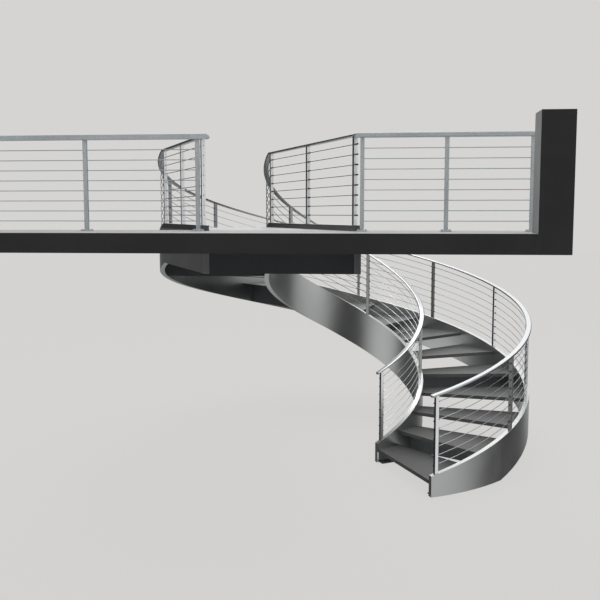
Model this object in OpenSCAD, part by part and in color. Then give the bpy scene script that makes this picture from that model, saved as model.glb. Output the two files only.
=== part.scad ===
// Curved open-riser steel staircase with a rod guard, its landing, and the edge of the floor it hangs from.
// Frame: +Z up, z = 0 on the ground. Angles on the curve run clockwise as seen from above, from the
// -X side of its axis, so that they grow down the flight. The landing runs on along the tangents
// from the start of the curve to the floor.

/* [Levels] */
// Height from the ground to the upper floor
storey_h = 2805; // [2600:5:3100]
// Number of risers, the last one up to the landing
risers = 16; // [14:1:18]

/* [Curve] */
// Radius of the inner stringer's middle line
inner_r = 1000; // [900:5:1150]
// Width of the flight between the stringers' middle lines
flight_w = 1313; // [1200:1:1400]
// Angle at which the landing ends and the flight starts
start_a = -26.2; // [-30:0.2:-22]
// Angle at which the flight ends
end_a = 244.5; // [236:0.1:250]

/* [Stringers] */
// Depth of a stringer, square to its length
stringer_d = 465; // [360:5:520]
// Thickness of a stringer
stringer_t = 56; // [50:1:80]
// Height of a stringer's top above the landing and above the line of the nosings
kerb_h = 55; // [40:1:80]

/* [Treads] */
// Thickness of a tread plate
tread_t = 10; // [6:1:16]
// Depth of the folded lip at a tread's front
lip_d = 42; // [30:1:60]
// Thickness of the folded lip
lip_t = 10; // [6:1:16]
// Treads from one cross beam to the next
beam_step = 3; // [2:1:5]
// Depth of a cross beam
beam_d = 240; // [150:5:260]
// Thickness of a cross beam
beam_t = 60; // [40:1:80]

/* [Guard] */
// Height of the rails above the floor
guard_h = 914; // [900:1:1000]
// Width of a handrail
rail_w = 64; // [45:1:80]
// Depth of a handrail
rail_d = 24; // [15:1:40]
// Side of a square post
post_s = 38; // [30:1:42]
// Diameter of a guard rod
rod_d = 8; // [5:0.5:10]
// Bays of the outer guard down the flight
outer_bays = 9; // [8:1:10]
// Bays of the inner guard down the flight
inner_bays = 4; // [4:1:5]
// Distance from a stringer's foot end to its last post's middle
foot_post_gap = 65; // [50:1:90]
// Distance from the level guard's line back to the landing's first posts
first_post_gap = 127; // [100:1:300]

/* [Floor] */
// Thickness of the upper floor
slab_t = 177; // [150:1:220]
// Depth of the strip of floor along the stairwell
slab_w = 1275; // [1200:5:1500]
// Distance from the curve's axis to the floor strip's front face
front_y = 3599; // [3560:1:3700]
// Distance from the curve's axis to the end wall
wall_x = 1746; // [1700:1:1900]
// Length of the end wall along the floor's edge
wall_t = 282; // [240:1:400]
// Depth of the end wall from the floor's edge
wall_d = 271; // [200:1:400]
// Height of the end wall above the floor
wall_h = 1013; // [960:1:1200]

/* [Level guard] */
// Distance of the level guard's line from the strip's front face
level_inset = 798; // [760:1:840]
// Middle to middle of the posts left of the landing
left_bay = 1096; // [900:1:1200]
// Whole bays left of the landing
left_bays = 2; // [1:1:4]
// Middle to middle of the posts right of the landing
right_bay = 780; // [760:1:790]
// Whole bays right of the landing
right_bays = 2; // [1:1:2]
// Side of a level guard post's base plate
plate_s = 100; // [80:1:104]
// Thickness of a base plate
plate_t = 10; // [6:1:12]

/* [Hidden] */
function tread_name(k) = str("tread_", k < 10 ? "0" : "", k);

steel = "silver";
dark = "dimgray";
rods = 8;
sub = 5;                                    // stations on the curve for each tread
rod_sides = 6;
rod_clear = 0.5;                            // gap round a rod in its post
level_rail_d = 45;                          // depth of the level guard's rail
corner_gap = 50;                            // from the end of the landing back to its last post
seat = 0.3;                                 // gap between a post and what it is welded to
deck_t = 50;                                // thickness of the landing's deck
front_beam_t = 75;                          // thickness of the beam under the floor
kerb_gap = 55;                              // from the level guard's line back to the kerbs' front ends
inner_gap = 333;                            // and back to the inner stringer's front end, below the floor
beam_at = 2 / 3;                            // place of a cross beam under its tread, from the lip
level_post_gap = 89;                        // from the outer stringer's line to the level guard's nearest post
post_past_wall = 88;                        // from the end wall's near face on to the level guard's last post
post_end_gap = 45;                          // from a level rail's free end back to its last post
floor_end = 90;                             // from the floor strip's left end to its first post
rail_lap = 5;                               // how far the level rails run on past the landing's rails

rise = storey_h / risers;
tread_a = (end_a - start_a) / (risers - 1); // turn from one nosing to the next
step_a = tread_a / sub;
slope_per_deg = rise / tread_a;
outer_r = inner_r + flight_w;
floor_z = storey_h;
kerb_z = floor_z + kerb_h;
slab_bot = floor_z - slab_t;
rail_up = guard_h - kerb_h;                 // height of a rail above its stringer
guard_y = -front_y + level_inset;
kerb_y = guard_y + kerb_gap;
inner_y = guard_y + inner_gap;

// A side of the stair: [radius, y of its stringer's front end]
OUTER = [outer_r, kerb_y];
INNER = [inner_r, inner_y];
half_t = stringer_t / 2;

// A point at an angle on the curve, off outward from radius r; the same on the stringers' facets
function curve(r, off, a) = (r + off) * [-cos(a), sin(a)];
function facet(r, off, a) = let (i = floor((a - start_a) / step_a + 0.001), a0 = start_a + i * step_a, t = (a - a0) / step_a)
    curve(r, off, a0) * (1 - t) + curve(r, off, a0 + step_a) * t;

// A point on the landing's side, at the end of the landing or further forward
function rear(s, off) = curve(s[0], off, start_a);
function back_from(s, off, d) = rear(s, off) - d * [sin(start_a), cos(start_a)];
function at_y(s, off, y) = back_from(s, off, (rear(s, off)[1] - y) / cos(start_a));
function side_x(s) = at_y(s, 0, guard_y)[0];

function nose_z(a) = floor_z - (a - start_a) * slope_per_deg;
function deg_len(s) = s[0] * PI / 180;
function depth_z(s) = stringer_d / cos(atan(slope_per_deg / deg_len(s)));
function top_z(a) = nose_z(a) + kerb_h;
function bottom_z(s, a) = max(0, top_z(a) - depth_z(s));
function rail_z(a) = top_z(a) + rail_up;
function ground_a(s) = start_a + (kerb_z - depth_z(s)) / slope_per_deg;    // where a stringer meets the ground

grid = [for (i = [0:(risers - 1) * sub]) start_a + i * step_a];
function with_break(list, a) = concat([for (v = list) if (v < a - 0.2) v], [a], [for (v = list) if (v > a + 0.2) v]);

// A list of rings swept into one solid; every ring has the same number of points, and each
// side is split along the same diagonal
module sweep(rings) {
    n = len(rings[0]);
    m = len(rings);
    sides = [for (i = [0:m - 2], j = [0:n - 1]) let (a = i * n + j, b = i * n + (j + 1) % n)
        each [[a, b, b + n], [a, b + n, a + n]]];
    polyhedron(points = [for (r = rings, p = r) p],
               faces = concat([[for (j = [n - 1:-1:0]) j]], sides, [[for (j = [0:n - 1]) (m - 1) * n + j]]),
               convexity = 10);
}

// Upright four-cornered ring between two plan points and two heights
function box_ring(p_in, p_out, lo, hi) =
    [[p_in[0], p_in[1], lo], [p_in[0], p_in[1], hi], [p_out[0], p_out[1], hi], [p_out[0], p_out[1], lo]];

// Plan of a landing stringer from a front line to the end of the landing
function side_plan(s, y) = [at_y(s, -half_t, y), rear(s, -half_t), rear(s, half_t), at_y(s, half_t, y)];

// Each kerb starts at kerb_y; where the stringer itself starts further back, only its top runs on
module stringer(s) {
    level = kerb_z - stringer_d;
    bend = (depth_z(s) - stringer_d) / slope_per_deg * deg_len(s);
    fronts = s[1] > kerb_y ? [[kerb_y, floor_z], [s[1], floor_z], [s[1] + 1, level]] : [[kerb_y, level]];
    sweep(concat(
        [for (f = fronts) box_ring(at_y(s, -half_t, f[0]), at_y(s, half_t, f[0]), f[1], kerb_z)],
        [box_ring(back_from(s, -half_t, bend), back_from(s, half_t, bend), level, kerb_z)],
        [for (a = with_break(grid, ground_a(s))) box_ring(curve(s[0], -half_t, a), curve(s[0], half_t, a), bottom_z(s, a), top_z(a))]));
}

// Handrail: level over the landing from the back of the level guard's rail, then down the flight
module handrail(s) {
    h = rail_w / 2;
    y = guard_y + h;
    sweep(concat([box_ring(at_y(s, -h, y), at_y(s, h, y), floor_z + guard_h - rail_d, floor_z + guard_h)],
                 [for (a = grid) box_ring(curve(s[0], -h, a), curve(s[0], h, a), rail_z(a) - rail_d, rail_z(a))]));
}

// Height of rod j over the stringer at an angle
function rod_z(j, a) = top_z(a) + rail_up * j / (rods + 1);
level_z = [for (j = [1:rods]) rod_z(j, start_a)];

// Ring of a rod round a plan point, square to the curve at an angle
function rod_ring(c, a, z) = [for (i = [0:rod_sides - 1]) let (u = 360 / rod_sides * (i + 0.5), r = rod_d / 2)
    [c[0] - cos(a) * r * cos(u), c[1] + sin(a) * r * cos(u), z + r * sin(u)]];

// The landing's last post stands just before its end; the others follow down the curve at equal turns
function last_a(s) = end_a - foot_post_gap / deg_len(s);
function post_a(s, bays, i) = start_a + (last_a(s) - start_a) * i / bays;

// The rods of one bay, from the middle of one post to the middle of the next
module rod_bay(s, bays, i, cuts) color(steel) {
    a0 = post_a(s, bays, i - 1);
    a1 = post_a(s, bays, i);
    for (j = [1:rods]) sweep(concat(
        i == 1 ? [rod_ring(back_from(s, 0, corner_gap), start_a, level_z[j - 1])] : [],
        [for (k = [0:cuts]) let (a = a0 + (a1 - a0) * k / cuts) rod_ring(curve(s[0], 0, a), a, rod_z(j, a))]));
}

// A cylinder from one point to another
module rod_between(p, q, r) {
    d = q - p;
    translate(p) rotate([0, acos(d[2] / norm(d)), atan2(d[1], d[0])]) cylinder(r = r, h = norm(d), $fn = 24);
}

// A square post whose foot and head are cut to the slope (rise over run) of what it stands between.
// along is the direction of the guard there, and holes are the heights of the rods through it.
module post(p, along, lo, hi, slope, holes) translate([p[0], p[1], 0]) rotate(along) difference() {
    h = post_s / 2;
    d = [post_s, 0, post_s * slope];
    translate([0, h, 0]) rotate([90, 0, 0]) linear_extrude(post_s)
        polygon([[-h, lo + seat - h * slope], [h, lo + seat + h * slope],
                 [h, hi - seat + h * slope], [-h, hi - seat - h * slope]]);
    for (z = holes) rod_between([0, 0, z] - d, [0, 0, z] + d, rod_d / 2 + rod_clear);
}

function first_post(s) = at_y(s, 0, guard_y + first_post_gap);
function last_post(s) = back_from(s, 0, corner_gap);

module post_set(s, bays) color(steel) {
    p = first_post(s);
    q = last_post(s);
    for (t = [0, 0.5, 1]) post(p + (q - p) * t, 90 - start_a, kerb_z, floor_z + guard_h - rail_d, 0, level_z);
    for (i = [1:bays]) let (a = post_a(s, bays, i))
        post(curve(s[0], 0, a), 90 - a, top_z(a), rail_z(a) - rail_d, -slope_per_deg / deg_len(s),
             [for (j = [1:rods]) rod_z(j, a)]);
}

module landing_rods(s) color(steel) {
    p = first_post(s);
    q = last_post(s);
    for (z = level_z) rod_between([p[0], p[1], z], [q[0], q[1], z], rod_d / 2);
}

// Part of the flight's plan between the stringers, from one angle to another on n facets, clear of
// the stringers by a gap
function between(a0, a1, n, gap = 0) =
    concat([for (i = [0:n]) facet(inner_r, half_t + gap, a0 + (a1 - a0) * i / n)],
           [for (i = [n:-1:0]) facet(outer_r, -half_t - gap, a0 + (a1 - a0) * i / n)]);
mid_deg = (inner_r + outer_r) / 2 * PI / 180;

// A tread is a plate with a lip folded down at its front; its rear edge is under the next one's lip
function lip_a(k) = end_a - (k - 1) * tread_a;
module tread(k) color(dark) {
    z = k * rise;
    front = lip_a(k) - seat / mid_deg;
    translate([0, 0, z - tread_t]) linear_extrude(tread_t) polygon(between(lip_a(k) - tread_a, lip_a(k), sub));
    translate([0, 0, z - lip_d]) linear_extrude(lip_d - tread_t / 2) polygon(between(front - lip_t / mid_deg, front, 1, seat));
}

// Beams from stringer to stringer under every few treads
module cross_beams() color(dark) for (k = [2:beam_step:risers - 1]) {
    a = lip_a(k) - beam_at * tread_a;
    translate([0, 0, k * rise - tread_t - beam_d]) linear_extrude(beam_d) polygon(between(a - beam_t / mid_deg, a, 1, seat));
}

module landing_deck() color(dark) {
    y = -front_y + slab_w;
    translate([0, 0, floor_z - deck_t]) linear_extrude(deck_t)
        polygon([at_y(INNER, half_t, y), rear(INNER, half_t), rear(OUTER, -half_t), at_y(OUTER, -half_t, y)]);
}

left_posts = [for (i = [0:left_bays]) side_x(OUTER) - level_post_gap - i * left_bay];
right_posts = [for (i = [0:right_bays]) wall_x + post_past_wall - (right_bays - i) * right_bay];
slab_left = left_posts[left_bays] - floor_end;

module floor_slab() color(dark) difference() {
    translate([slab_left, -front_y, slab_bot]) cube([wall_x + wall_t - slab_left, slab_w, slab_t]);
    translate([0, 0, slab_bot - 1]) linear_extrude(slab_t + 2) {
        polygon(side_plan(OUTER, OUTER[1]));
        polygon(side_plan(INNER, INNER[1]));
    }
    translate([wall_x, -front_y - 1, slab_bot - 1]) cube([wall_t + 1, wall_d + 1, slab_t + 2]);
}

module end_wall() color(dark)
    translate([wall_x, -front_y, slab_bot]) cube([wall_t, wall_d, slab_t + wall_h]);

// Beam under the floor, between the stringers' front ends
module front_beam() color(dark) {
    z = kerb_z - stringer_d;
    translate([0, 0, z]) linear_extrude(slab_bot - z)
        polygon([at_y(OUTER, -half_t, OUTER[1]), at_y(INNER, half_t, INNER[1]),
                 at_y(INNER, half_t, INNER[1] + front_beam_t), at_y(OUTER, -half_t, OUTER[1] + front_beam_t)]);
}

level_rod_z = [for (j = [1:rods]) floor_z + j * (guard_h - level_rail_d) / (rods + 1)];

module level_posts(xs) color(steel) for (x = xs) {
    post([x, guard_y], 0, floor_z + plate_t - seat, floor_z + guard_h - level_rail_d, 0, level_rod_z);
    translate([x - plate_s / 2, guard_y - plate_s / 2, floor_z]) cube([plate_s, plate_s, plate_t]);
}
// Rail from x0 to x1, with its right end rounded if that end is free
module level_rail(x0, x1, free) color(steel) {
    r = level_rail_d / 2;
    translate([0, guard_y + rail_w / 2, floor_z + guard_h - r]) rotate([90, 0, 0]) linear_extrude(rail_w) {
        translate([x0, -r]) square([x1 - x0 - (free ? r : 0), level_rail_d]);
        if (free) translate([x1 - r, 0]) circle(r, $fn = 48);
    }
}
// x of a landing rail's side where it meets the level rail's back, on one side of its middle line
function rail_side_x(s, side) = at_y(s, 0, guard_y + rail_w / 2)[0] + side * rail_w / 2 / cos(start_a);
module level_rods(x0, x1) color(steel) for (z = level_rod_z) rod_between([x0, guard_y, z], [x1, guard_y, z], rod_d / 2);

// The frame's origin is the middle of the outer stringer's foot on the ground
foot = curve(outer_r, 0, (ground_a(OUTER) + end_a) / 2);
module place() translate([-foot[0], -foot[1], 0]) children();

place() floor_slab();
place() end_wall();
place() front_beam();
place() landing_deck();
place() color(steel) stringer(OUTER);  // outer_stringer
place() color(steel) stringer(INNER);  // inner_stringer
for (k = [1:risers - 1]) place() tread(k);
place() cross_beams();
place() post_set(OUTER, outer_bays);  // outer_posts
place() post_set(INNER, inner_bays);  // inner_posts
place() color(steel) handrail(OUTER);  // outer_rail
place() color(steel) handrail(INNER);  // inner_rail
place() landing_rods(OUTER);  // landing_rods_left
place() landing_rods(INNER);  // landing_rods_right
for (i = [1:outer_bays]) place() rod_bay(OUTER, outer_bays, i, 5);
for (i = [1:inner_bays]) place() rod_bay(INNER, inner_bays, i, 9);
place() level_posts(left_posts);  // left_guard_posts
place() level_rail(left_posts[left_bays] - post_end_gap, rail_side_x(OUTER, 1) + rail_lap, true);  // left_guard_rail
place() level_rods(left_posts[left_bays], left_posts[0]);  // left_guard_rods
place() level_posts(right_posts);  // right_guard_posts
place() level_rail(rail_side_x(INNER, -1) - rail_lap, right_posts[right_bays] + post_end_gap, false);  // right_guard_rail
place() level_rods(right_posts[0], right_posts[right_bays]);  // right_guard_rods
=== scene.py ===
"""Looks of the curved steel staircase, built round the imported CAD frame. Metres, +Z up."""

import math

import bmesh
import bpy
from mathutils import Matrix, Vector


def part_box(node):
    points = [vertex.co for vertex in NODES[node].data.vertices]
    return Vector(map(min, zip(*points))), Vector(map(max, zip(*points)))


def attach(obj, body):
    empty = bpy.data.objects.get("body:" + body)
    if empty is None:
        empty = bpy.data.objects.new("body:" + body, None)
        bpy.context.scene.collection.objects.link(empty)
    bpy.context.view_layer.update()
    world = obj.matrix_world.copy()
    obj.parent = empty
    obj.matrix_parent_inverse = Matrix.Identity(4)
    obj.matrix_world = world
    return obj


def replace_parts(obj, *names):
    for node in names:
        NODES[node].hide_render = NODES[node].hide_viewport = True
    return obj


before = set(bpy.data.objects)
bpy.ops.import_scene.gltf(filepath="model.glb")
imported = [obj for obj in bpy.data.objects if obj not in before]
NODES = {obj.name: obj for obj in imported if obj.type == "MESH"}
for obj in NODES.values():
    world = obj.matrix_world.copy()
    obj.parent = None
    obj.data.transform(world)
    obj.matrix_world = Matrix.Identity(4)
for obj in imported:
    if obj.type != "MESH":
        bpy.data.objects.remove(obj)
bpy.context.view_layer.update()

# ---- studio ---------------------------------------------------------------------------------

BACKDROP = (0.665, 0.658, 0.645)
EYE = Vector((-1.0183, -8.7363, 2.9687))
YAW = math.radians(5.239)        # the camera looks this far left of +Y
PITCH = math.radians(5.913)      # and this far down
ROLL = math.radians(0.014)
SENSOR, LENS = 36, 49.158        # mm
SHIFT = (-0.0024, -0.0021)
SIGHT = 200                      # how far the camera sees


def make_camera():
    """The camera at the picture's viewing angle."""
    data = bpy.data.cameras.new("camera")
    data.sensor_width = SENSOR
    data.lens = LENS
    data.shift_x, data.shift_y = SHIFT
    data.clip_end = SIGHT
    camera = bpy.data.objects.new("camera", data)
    bpy.context.scene.collection.objects.link(camera)
    level = math.cos(PITCH)
    ahead = Vector((-math.sin(YAW) * level, math.cos(YAW) * level, -math.sin(PITCH)))
    right = Vector((math.cos(YAW), math.sin(YAW), 0))
    up = right.cross(ahead)
    turn = Matrix((right, up, -ahead)).transposed().to_4x4() @ Matrix.Rotation(-ROLL, 4, "Z")
    camera.matrix_world = Matrix.Translation(EYE) @ turn
    bpy.context.scene.camera = camera


class Tree:
    """Short calls for the nodes of one shader tree."""

    def __init__(self, tree):
        self.tree = tree

    def node(self, kind, **values):
        new = self.tree.nodes.new(kind)
        for key, value in values.items():
            setattr(new, key, value)
        return new

    def put(self, socket, value):
        """Links a socket to another, or gives it a value."""
        if isinstance(value, bpy.types.NodeSocket):
            self.tree.links.new(value, socket)
        else:
            socket.default_value = value

    def math(self, operation, a, b=0.0):
        new = self.node("ShaderNodeMath", operation=operation)
        self.put(new.inputs[0], a)
        self.put(new.inputs[1], b)
        return new.outputs[0]

    def dot(self, way, axis):
        """The cosine between a direction and an axis."""
        new = self.node("ShaderNodeVectorMath", operation="DOT_PRODUCT")
        self.put(new.inputs[0], way)
        new.inputs[1].default_value = axis
        return new.outputs["Value"]

    def smooth(self, value, low, high, to_low=0.0, to_high=1.0):
        new = self.node("ShaderNodeMapRange", interpolation_type="SMOOTHSTEP")
        for name, number in (("Value", value), ("From Min", low), ("From Max", high),
                             ("To Min", to_low), ("To Max", to_high)):
            self.put(new.inputs[name], number)
        return new.outputs[0]

    def mix(self, fac, a, b):
        new = self.node("ShaderNodeMix", data_type="RGBA")
        self.put(new.inputs[0], fac)
        self.put(new.inputs[6], a)
        self.put(new.inputs[7], b)
        return new.outputs[2]

    def noise(self, scale, detail, rough):
        new = self.node("ShaderNodeTexNoise")
        new.inputs["Scale"].default_value = scale
        new.inputs["Detail"].default_value = detail
        new.inputs["Roughness"].default_value = rough
        self.put(new.inputs["Vector"], self.node("ShaderNodeTexCoord").outputs["Object"])
        return new.outputs["Fac"]

    def split(self, vector):
        new = self.node("ShaderNodeSeparateXYZ")
        self.put(new.inputs[0], vector)
        return new.outputs


# Soft boxes round the object: azimuth from +X, elevation, half width (degrees), and strength.
# Between them the studio is dark, which gives the curved steel its bands.
DIM = 0.07
SOFT_BOXES = [(-34, 0, 45, 0.72), (-153, 0, 41, 0.72), (84, -5, 42, 0.5), (88, 30, 30, 1.4),
              (0, 90, 60, 1.2), (0, -90, 60, 0.6), (-90, 48, 36, 1.0)]


def make_world():
    """A backdrop for the camera, and soft boxes for everything else."""
    world = bpy.data.worlds.new("studio")
    bpy.context.scene.world = world
    world.use_nodes = True
    t = Tree(world.node_tree)
    way = t.node("ShaderNodeTexCoord").outputs["Generated"]
    light = DIM
    for turn, height, width, strength in SOFT_BOXES:
        turn, height, width = math.radians(turn), math.radians(height), math.radians(width)
        level = math.cos(height)
        box = (math.cos(turn) * level, math.sin(turn) * level, math.sin(height))
        glow = t.smooth(t.dot(way, box), math.cos(width), 1.0, 0.0, strength)
        light = t.math("ADD", light, glow)
    colour = t.node("ShaderNodeCombineColor")
    for channel in range(3):
        t.put(colour.inputs[channel], light)
    seen = t.node("ShaderNodeLightPath").outputs["Is Camera Ray"]
    back = world.node_tree.nodes["Background"]
    t.put(back.inputs["Color"], t.mix(seen, colour.outputs[0], (*BACKDROP, 1)))


LAMP_AT, LAMP_TO = Vector((-1.4, 2.6, 8.5)), Vector((-1.4, 1.2, 1.0))
LAMP_SIZE, LAMP_POWER = 4.0, 170


def make_lamp():
    """One broad lamp above the stair."""
    data = bpy.data.lights.new("overhead", "AREA")
    data.shape = "DISK"
    data.size = LAMP_SIZE
    data.energy = LAMP_POWER
    lamp = bpy.data.objects.new("overhead", data)
    bpy.context.scene.collection.objects.link(lamp)
    aim = (LAMP_TO - LAMP_AT).to_track_quat("-Z", "Y").to_matrix().to_4x4()
    lamp.matrix_world = Matrix.Translation(LAMP_AT) @ aim


GROUND_SIZE = 60
GROUND_GAP = 0.002               # from the feet down to the pale floor
GROUND_GLOW = 0.93               # share of the floor's look that is plain backdrop


def make_ground():
    """A pale floor that fades into the backdrop, keeps a faint shadow and isn't reflected."""
    bm = bmesh.new()
    bmesh.ops.create_grid(bm, x_segments=1, y_segments=1, size=GROUND_SIZE)
    mesh = bpy.data.meshes.new("ground")
    bm.to_mesh(mesh)
    bm.free()
    ground = bpy.data.objects.new("ground", mesh)
    bpy.context.scene.collection.objects.link(ground)
    ground.location.z = -GROUND_GAP
    ground.visible_glossy = False
    material = bpy.data.materials.new("ground")
    material.use_nodes = True
    t = Tree(material.node_tree)
    nodes = material.node_tree.nodes
    shader = nodes["Principled BSDF"]
    shader.inputs["Base Color"].default_value = (*BACKDROP, 1)
    shader.inputs["Roughness"].default_value = 0.9
    glow = t.node("ShaderNodeEmission")
    glow.inputs["Color"].default_value = (*BACKDROP, 1)
    seen = t.node("ShaderNodeLightPath").outputs["Is Camera Ray"]
    mixed = t.node("ShaderNodeMixShader")
    t.put(mixed.inputs[0], t.math("MULTIPLY", seen, GROUND_GLOW))
    t.put(mixed.inputs[1], shader.outputs[0])
    t.put(mixed.inputs[2], glow.outputs[0])
    t.put(nodes["Material Output"].inputs["Surface"], mixed.outputs[0])
    ground.data.materials.append(material)


# ---- materials ------------------------------------------------------------------------------

FINE_NOISE = (3.0, 0.6)          # detail and roughness
SLOW_NOISE = (3.0, 0.5)
SLOW_SCALE = 1.7
SPAN = (0.3, 0.7)                # the range that most of a noise lies in
FACING = (0.6, 0.8)              # cosines over which a face takes an axis's colour
UPRIGHT = 0.4                    # most that an upright face's normal may rise
DENT, DENT_DEPTH = 0.05, 0.001
GLOSS_SWING = 0.15               # how far the gloss strays, as a share of the roughness


def finish(name, colour, rough, metallic=0.0, speckle=0.15, grain=900.0, cloud=0.08,
           tones_and_painted_light_by_normal=(), painted_shade_above=None):
    """A procedural surface: fine speckle, slow clouding, uneven gloss and a slight bump.
    Pairs of an axis and a colour give that colour to faces that look along the axis. On some parts this
    is the surface's own two tones; on the posts and the cross beams' undersides it is painted highlight
    and painted shade.
    A height and a colour give that darker colour to upright faces above the height: painted shade."""
    material = bpy.data.materials.new(name)
    material.use_nodes = True
    t = Tree(material.node_tree)
    shader = material.node_tree.nodes["Principled BSDF"]
    fine = t.noise(grain, *FINE_NOISE)
    slow = t.noise(SLOW_SCALE, *SLOW_NOISE)
    surface = t.node("ShaderNodeNewGeometry").outputs
    base = t.node("ShaderNodeRGB").outputs[0]
    base.default_value = (*colour, 1)
    # Faces that look along an axis take its colour: the surface's own two tones on some parts, painted
    # highlight and painted shade on others.
    for axis, other in tones_and_painted_light_by_normal:
        base = t.mix(t.smooth(t.dot(surface["Normal"], axis), *FACING), base, (*other, 1))
    # Painted shade: upright faces above the height take the darker colour.
    if painted_shade_above:
        height, other = painted_shade_above
        above = t.math("GREATER_THAN", t.split(surface["Position"])["Z"], height)
        rises = t.math("ABSOLUTE", t.split(surface["Normal"])["Z"])
        upright = t.math("LESS_THAN", rises, UPRIGHT)
        base = t.mix(t.math("MULTIPLY", above, upright), base, (*other, 1))
    grains = t.smooth(fine, *SPAN, 1 - speckle, 1 + speckle)
    value = t.math("ADD", grains, t.smooth(slow, *SPAN, -cloud, cloud))
    scaled = t.node("ShaderNodeVectorMath", operation="SCALE")
    t.put(scaled.inputs[0], base)
    t.put(scaled.inputs["Scale"], value)
    t.put(shader.inputs["Base Color"], scaled.outputs[0])
    swing = rough * (1 - GLOSS_SWING), min(1.0, rough * (1 + GLOSS_SWING))
    t.put(shader.inputs["Roughness"], t.smooth(slow, *SPAN, *swing))
    shader.inputs["Metallic"].default_value = metallic
    dent = t.node("ShaderNodeBump")
    dent.inputs["Strength"].default_value = DENT
    dent.inputs["Distance"].default_value = DENT_DEPTH
    t.put(dent.inputs["Height"], fine)
    t.put(shader.inputs["Normal"], dent.outputs[0])
    return material


TOP, UNDERSIDE, LEFT, REAR = (0, 0, 1), (0, 0, -1), (-1, 0, 0), (0, 1, 0)
LANDING_FRONT = (0.4375, -0.8992, 0)     # the landing runs askew to the floor's edge
LANDING_LEFT = (-0.8992, -0.4375, 0)
FLOOR_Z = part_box("floor_slab")[1][2]
# Height above which the cross beams' upright faces are painted darker, as painted shade.
PAINTED_SHADE_Z = 1.6
FLOOR_EDGE = (0.021, 0.021, 0.0215)
SCREED = (0.43, 0.43, 0.425)
PLASTER = (0.29, 0.29, 0.295)
GALVANISED = (0.5, 0.54, 0.565)
MATERIALS = {
    "floor_slab": finish("floor_edge", FLOOR_EDGE, 0.85, speckle=0.1, tones_and_painted_light_by_normal=[(TOP, SCREED)]),
    "end_wall": finish("pier", FLOOR_EDGE, 0.85, speckle=0.1,
                       tones_and_painted_light_by_normal=[(LEFT, PLASTER), (REAR, PLASTER)]),
    "front_beam": finish("beam_paint", (0.038, 0.041, 0.046), 0.6, speckle=0.35, grain=240),
    "landing_deck": finish("deck", (0.16, 0.163, 0.163), 0.45, 0.4, tones_and_painted_light_by_normal=[(TOP, SCREED)]),
    # The cross beams keep their own bluish paint. Their undersides are painted near-black, and their
    # upright faces above the upper flight's height are painted darker: both are painted shade.
    "cross_beams": finish("cross_beam_paint_and_painted_shade", (0.17, 0.18, 0.195), 0.5, 0.1, speckle=0.3, grain=240,
                          tones_and_painted_light_by_normal=[(UNDERSIDE, (0.018, 0.019, 0.021))],
                          painted_shade_above=(PAINTED_SHADE_Z, (0.045, 0.048, 0.053))),
    "tread": finish("tread_plate", (0.123, 0.126, 0.123), 0.5, 0.35, speckle=0.12, grain=400),
    # The stringers' upright faces above the floor's top, the kerbs along the landing, are painted darker:
    # painted shade.
    "stringer": finish("stringer_steel", (0.56, 0.575, 0.565), 0.34, 1.0, speckle=0.05, cloud=0.04,
                       painted_shade_above=(FLOOR_Z, (0.2, 0.205, 0.21))),
    "rail": finish("rail_steel", (0.54, 0.55, 0.56), 0.28, 1.0, speckle=0.03, cloud=0.02),
    # The posts' faces towards the landing's front are painted near-white as a painted highlight, and
    # their faces towards its left are painted dark as painted shade.
    "posts": finish("post_steel_and_painted_light", (0.55, 0.56, 0.57), 0.32, 1.0, speckle=0.05, cloud=0.02,
                    tones_and_painted_light_by_normal=[(LANDING_FRONT, (0.92, 0.93, 0.94)),
                               (LANDING_LEFT, (0.23, 0.234, 0.238))]),
    "rods": finish("rod_steel", (0.5, 0.51, 0.52), 0.3, 1.0, speckle=0.03, cloud=0.02),
    "guard": finish("galvanised", GALVANISED, 0.5, 0.15, speckle=0.2, grain=160),
    "guard_rods": finish("galvanised_rod", (0.4, 0.43, 0.45), 0.5, 0.15, speckle=0.1, grain=160),
    "dark": finish("blackened", (0.014, 0.014, 0.015), 0.45),
}
WORDS = ("guard_rods", "guard", "tread", "stringer", "rail", "posts", "rods")


def material_for(name):
    """The finish of a CAD node: its own, or that of the first of the words in its name."""
    if name in MATERIALS:
        return MATERIALS[name]
    return next(MATERIALS[word] for word in WORDS if word in name)


WELD = 0.00002                   # corners nearer than this are one
SOFT_ANGLE = math.radians(28)    # faces that meet at less than this shade as one


def smooth_group():
    """Geometry nodes that shade faces smooth where they meet at a small angle."""
    group = bpy.data.node_groups.new("smooth_by_angle", "GeometryNodeTree")
    for way in ("INPUT", "OUTPUT"):
        group.interface.new_socket("Geometry", in_out=way, socket_type="NodeSocketGeometry")
    start = group.nodes.new("NodeGroupInput")
    end = group.nodes.new("NodeGroupOutput")
    weld = group.nodes.new("GeometryNodeMergeByDistance")
    weld.inputs["Distance"].default_value = WELD
    faces = group.nodes.new("GeometryNodeSetShadeSmooth")
    edges = group.nodes.new("GeometryNodeSetShadeSmooth")
    edges.domain = "EDGE"
    edges.inputs["Shade Smooth"].default_value = False
    angle = group.nodes.new("GeometryNodeInputMeshEdgeAngle")
    sharp = group.nodes.new("FunctionNodeCompare")
    sharp.inputs[1].default_value = SOFT_ANGLE
    for a, b in ((start.outputs[0], weld.inputs[0]), (weld.outputs[0], faces.inputs[0]),
                 (faces.outputs[0], edges.inputs[0]), (angle.outputs[0], sharp.inputs[0]),
                 (sharp.outputs[0], edges.inputs["Selection"]), (edges.outputs[0], end.inputs[0])):
        group.links.new(a, b)
    return group


ROUNDED = {"rail": 0.0112, "posts": 0.003, "stringer": 0.003, "slab": 0.004, "wall": 0.004}
RAIL_SEGMENTS, SEGMENTS = 5, 2
EDGE_ANGLE = math.radians(40)


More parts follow.
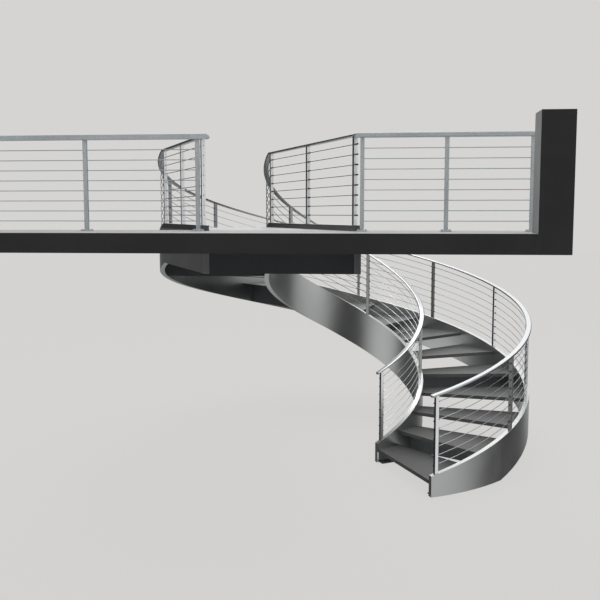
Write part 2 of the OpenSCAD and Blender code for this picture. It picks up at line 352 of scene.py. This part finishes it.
def dress_nodes():
    """Gives each CAD node its finish, smooth curves and, where people touch it, rounded edges."""
    group = smooth_group()
    for name, node in NODES.items():
        node.data.materials.clear()
        node.data.materials.append(material_for(name))
        node.modifiers.new("smooth", "NODES").node_group = group
        for word, radius in ROUNDED.items():
            if word in name:
                edge = node.modifiers.new("edge", "BEVEL")
                edge.width = radius
                edge.segments = RAIL_SEGMENTS if word == "rail" else SEGMENTS
                edge.limit_method = "ANGLE"
                edge.angle_limit = EDGE_ANGLE
                node.modifiers.new("smooth_again", "NODES").node_group = group


# ---- shapes ---------------------------------------------------------------------------------

def piece(name, bm, material):
    """Makes a finished piece from bm that rides with the stair."""
    mesh = bpy.data.meshes.new(name)
    bmesh.ops.recalc_face_normals(bm, faces=bm.faces)
    bm.to_mesh(mesh)
    bm.free()
    made = bpy.data.objects.new(name, mesh)
    bpy.context.scene.collection.objects.link(made)
    mesh.materials.append(MATERIALS[material])
    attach(made, "root")
    return made


SIDES, HEX = 14, 6


def add_cylinder(bm, p, q, r, sides=SIDES):
    """A capped cylinder with a small chamfer at both ends, from p to q."""
    axis = (q - p).normalized()
    side = axis.orthogonal().normalized()
    other = axis.cross(side)
    length = (q - p).length
    cut = min(r * 0.25, length * 0.2)
    turns = [2 * math.pi * i / sides for i in range(sides)]
    rings = []
    for along, size in ((0, r - cut), (cut, r), (length - cut, r), (length, r - cut)):
        rings.append([bm.verts.new(p + axis * along + (side * math.cos(u) + other * math.sin(u)) * size)
                      for u in turns])
    for a, b in zip(rings, rings[1:]):
        for i in range(sides):
            j = (i + 1) % sides
            bm.faces.new((a[i], a[j], b[j], b[i])).smooth = True
    bm.faces.new(rings[0][::-1])
    bm.faces.new(rings[-1])


WASHER_T = 0.003


def add_nut(bm, at, way, washer_r, nut_r, nut_t):
    """A washer at a point, and a hexagonal nut on it."""
    seat = at + way * WASHER_T
    add_cylinder(bm, at, seat, washer_r)
    add_cylinder(bm, seat, seat + way * nut_t, nut_r, HEX)


def add_prism(bm, plan, low, high, bevel=0.003):
    """An upright prism on a plan of points, with its edges eased."""
    bottom = [bm.verts.new((p.x, p.y, low)) for p in plan]
    top = [bm.verts.new((p.x, p.y, high)) for p in plan]
    faces = [bm.faces.new(bottom[::-1]), bm.faces.new(top)]
    for i in range(len(plan)):
        j = (i + 1) % len(plan)
        faces.append(bm.faces.new((bottom[i], bottom[j], top[j], top[i])))
    edges = list({edge for face in faces for edge in face.edges})
    bmesh.ops.bevel(bm, geom=edges, offset=bevel, segments=2, affect="EDGES")


def welded(name):
    """A node's mesh, with its doubled corners joined."""
    bm = bmesh.new()
    bm.from_mesh(NODES[name].data)
    bmesh.ops.remove_doubles(bm, verts=bm.verts, dist=WELD)
    return bm


def solids_of(name):
    """The separate solids of a node, each as a list of its corners."""
    bm = welded(name)
    seen, found = set(), []
    for first in bm.verts:
        if first.index in seen:
            continue
        stack, group = [first], []
        seen.add(first.index)
        while stack:
            vert = stack.pop()
            group.append(vert.co.copy())
            for edge in vert.link_edges:
                near = edge.other_vert(vert)
                if near.index not in seen:
                    seen.add(near.index)
                    stack.append(near)
        found.append(group)
    bm.free()
    return found


def halfway(values):
    values = list(values)
    return (min(values) + max(values)) / 2


# ---- the curve ------------------------------------------------------------------------------

START_A, END_A = math.radians(-26.2), math.radians(244.5)
STRINGER_T = 0.056
HALF_T = STRINGER_T / 2


def flight_axis():
    """The vertical axis of the curve, from the outer stringer's box."""
    low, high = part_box("outer_stringer")
    return Vector(((low[0] + high[0]) / 2, high[1] - (high[0] - low[0]) / 2, 0))


AXIS = flight_axis()
OUTER_R = (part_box("outer_stringer")[1][0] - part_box("outer_stringer")[0][0]) / 2 - HALF_T
INNER_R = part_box("inner_stringer")[1][1] - AXIS.y - HALF_T
FRONT_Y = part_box("outer_stringer")[0][1]


def on_curve(r, a, z=0.0):
    """The point at radius r and angle a, clockwise from the -X side of the axis."""
    return AXIS + Vector((-r * math.cos(a), r * math.sin(a), z))


def landing_side(r, y):
    """The point at y on the line that runs forward from the start of the curve at radius r."""
    rear = on_curve(r, START_A)
    along = (rear.y - y) / math.cos(START_A)
    return Vector((rear.x - along * math.sin(START_A), y, 0))


def turn_of(tread):
    """The angle of a tread's middle about the axis."""
    corners = [c for group in solids_of(tread) for c in group]
    spot = sum(corners, Vector()) / len(corners) - AXIS
    return math.atan2(spot.y, -spot.x)


def flight_slope():
    """Fall of the flight for each radian of turn, from the treads."""
    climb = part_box("tread_15")[1][2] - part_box("tread_01")[1][2]
    return climb / ((turn_of("tread_01") - turn_of("tread_15")) % (2 * math.pi))


SLOPE = flight_slope()

# ---- fittings -------------------------------------------------------------------------------

RODS = 8
RAIL_DEPTH = 0.024
POST = 0.038
END_BAND = 0.03                  # holds the corners of a post's sloping end
ROD_END_R, ROD_END, LONG_ROD_END = 0.0075, 0.018, 0.05
SUNK = 0.001                     # how far a fitting reaches into its seat
LANDING_FOOT = FLOOR_Z + 0.02    # a post that stands higher than this is on the landing


def posts_of(name):
    """Posts of a guard: (middle, foot height, head height)."""
    found = []
    for corners in solids_of(name):
        low, high = min(c.z for c in corners), max(c.z for c in corners)
        centre = Vector([halfway(c[axis] for c in corners) for axis in range(3)])
        foot = halfway(c.z for c in corners if c.z < low + END_BAND)
        head = halfway(c.z for c in corners if c.z > high - END_BAND)
        found.append((centre, foot, head))
    return found


def landing_way(rods):
    """The level direction of the landing towards the flight, from one of its rods."""
    corners = solids_of(rods)[0]
    way = max(corners, key=lambda c: c.y) - min(corners, key=lambda c: c.y)
    way.z = 0
    return way.normalized()


def add_rod_ends(guard, rods, long_side):
    """Dark rod ends at a guard's posts: both sides on the flight, one longer on the landing."""
    ahead = landing_way(rods)
    bm = bmesh.new()
    for centre, foot, head in posts_of(guard):
        if foot >= LANDING_FOOT:
            way, signs, reach = ahead, (long_side,), LONG_ROD_END
        else:
            out = Vector((centre.x - AXIS.x, centre.y - AXIS.y, 0))
            down = Vector((out.y, -out.x, 0)).normalized()
            down.z = -SLOPE / out.length
            way, signs, reach = down.normalized(), (-1, 1), ROD_END
        tall = head + RAIL_DEPTH - foot
        for j in range(1, RODS + 1):
            at = Vector((centre.x, centre.y, foot + tall * j / (RODS + 1)))
            for sign in signs:
                near = at + way * sign * (POST / 2 - SUNK)
                add_cylinder(bm, near, near + way * sign * reach, ROD_END_R)
    piece(guard + "_ferrules", bm, "dark")


PLATE_T = 0.01
BOLT_AT = 0.036
PLATE_NUT = (0.011, 0.0085, 0.007)       # washer's and nut's radius, nut's thickness
UP = Vector((0, 0, 1))


def add_plate_bolts():
    """Four nuts on washers on each base plate of the level guard."""
    bm = bmesh.new()
    for name in ("left_guard_posts", "right_guard_posts"):
        for corners in solids_of(name):
            x, y = halfway(c.x for c in corners), halfway(c.y for c in corners)
            for dx in (-BOLT_AT, BOLT_AT):
                for dy in (-BOLT_AT, BOLT_AT):
                    add_nut(bm, Vector((x + dx, y + dy, FLOOR_Z + PLATE_T)), UP, *PLATE_NUT)
    piece("plate_bolts", bm, "guard")


FRONT_BEAM_T = 0.075
SET_BACK = 0.004                 # of the beam from the stringers' front ends


def make_front():
    """The beam below the floor's edge, level from stringer to stringer, and the inner one's front."""
    low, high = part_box("front_beam")[0][2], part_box("front_beam")[1][2]
    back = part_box("front_beam")[1][1] - FRONT_BEAM_T
    bm = bmesh.new()
    add_prism(bm, [landing_side(INNER_R - HALF_T, FRONT_Y), landing_side(INNER_R + HALF_T, FRONT_Y),
                   landing_side(INNER_R + HALF_T, back), landing_side(INNER_R - HALF_T, back)], low, high)
    piece("inner_stringer_front", bm, "stringer")
    front, rear = FRONT_Y + SET_BACK, FRONT_Y + FRONT_BEAM_T
    bm = bmesh.new()
    add_prism(bm, [landing_side(OUTER_R - HALF_T, front), landing_side(INNER_R + HALF_T, front),
                   landing_side(INNER_R + HALF_T, rear), landing_side(OUTER_R - HALF_T, rear)], low, high)
    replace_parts(piece("front_beam_level", bm, "front_beam"), "front_beam")


BEAM_EXTRA = 0.036
NEAR = 0.001


def make_cross_beams():
    """The cross beams at their full depth: the CAD solids with their undersides lower."""
    bm = welded("cross_beams")
    lows = [min(c.z for c in corners) for corners in solids_of("cross_beams")]
    for vert in bm.verts:
        if any(abs(vert.co.z - low) < NEAR for low in lows):
            vert.co.z -= BEAM_EXTRA
    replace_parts(piece("cross_beams_deep", bm, "cross_beams"), "cross_beams")


CLEAT_LENGTH, CLEAT_HEIGHT, CLEAT_FOOT, CLEAT_T = 0.2, 0.11, 0.075, 0.012
CLEAT_GAP = 0.03                 # from the stringer's end back to the angle
CLEAT_STEPS = 4
CLEAT_EASE = 0.001
CLEAT_NUT = (0.013, 0.0095, 0.009)
BOLTS_ALONG = (0.2, 0.8)
BOLT_OUT, BOLT_UP = 0.6, 0.65


def make_cleats():
    """Angles that anchor both feet, on the faces towards the treads, with a bolt at each end."""
    for name, r, side in (("inner", INNER_R, 1), ("outer", OUTER_R, -1)):
        face = r + side * HALF_T
        first = END_A - CLEAT_GAP / r
        last = first - CLEAT_LENGTH / r
        steps = [first + (last - first) * i / CLEAT_STEPS for i in range(CLEAT_STEPS + 1)]
        bm = bmesh.new()
        for reach, tall in ((CLEAT_T, CLEAT_HEIGHT), (CLEAT_FOOT, CLEAT_T)):
            plan = [on_curve(face, a) for a in steps]
            plan += [on_curve(face + side * reach, a) for a in reversed(steps)]
            add_prism(bm, plan, 0.0, tall, CLEAT_EASE)
        for share in BOLTS_ALONG:
            a = first + (last - first) * share
            add_nut(bm, on_curve(face + side * CLEAT_FOOT * BOLT_OUT, a, CLEAT_T), UP, *CLEAT_NUT)
            spot = on_curve(face + side * CLEAT_T, a, CLEAT_HEIGHT * BOLT_UP)
            out = (on_curve(face + side, a) - on_curve(face, a)).normalized()
            add_cylinder(bm, spot, spot + out * CLEAT_NUT[2], CLEAT_NUT[1], HEX)
        piece("foot_cleat_" + name, bm, "landing_deck")


bpy.context.scene.view_settings.view_transform = "Standard"
make_camera()
make_world()
make_lamp()
make_ground()
dress_nodes()
add_rod_ends("outer_posts", "landing_rods_left", 1)
add_rod_ends("inner_posts", "landing_rods_right", -1)
add_plate_bolts()
make_front()
make_cross_beams()
make_cleats()
